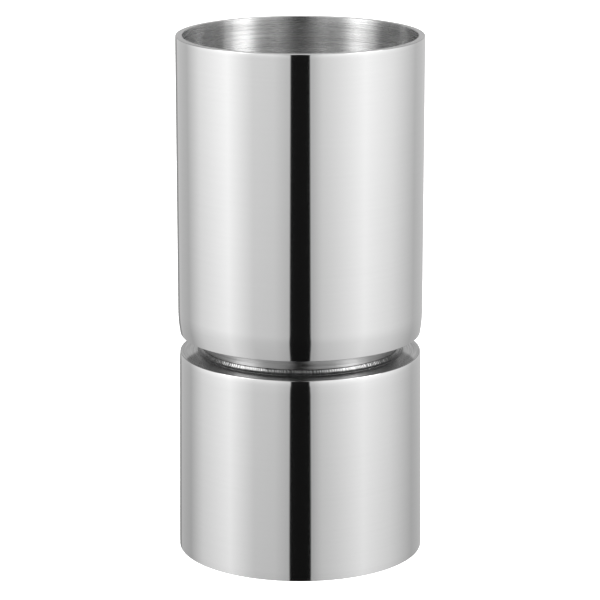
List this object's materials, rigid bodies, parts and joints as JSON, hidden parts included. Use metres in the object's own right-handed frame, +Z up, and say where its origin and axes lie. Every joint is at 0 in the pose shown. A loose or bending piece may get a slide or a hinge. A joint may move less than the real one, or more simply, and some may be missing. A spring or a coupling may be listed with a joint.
{
  "type": "bar jigger",
  "caption": "Double-ended steel bar measure: a tall and a short straight-sided cup joined back to back at a narrow waist.",
  "frame": {"origin": "middle of the lower cup's rim, in the plane that the jigger stands on", "axes": "+Z up along the axis of both cups, from the short cup to the mouth of the tall cup; X and Y are any two directions across it"},
  "size_m": [0.038, 0.038, 0.081],
  "materials": {
    "cup_steel": "stainless steel, mirror polished outside, brushed round the axis inside and on the closed ends",
    "disc_steel": "stainless steel, turned, fine rings round the axis, dulled by the weld's heat",
    "weld_steel": "stainless steel weld bead, fine ripples, as welded and lightly polished"
  },
  "bodies": {
    "root": {"upper_cup": "cup_steel", "lower_cup": "cup_steel", "joining_disc": "disc_steel", "lower_weld_bead": "weld_steel", "upper_weld_bead": "weld_steel"}
  },
  "joints": []
}
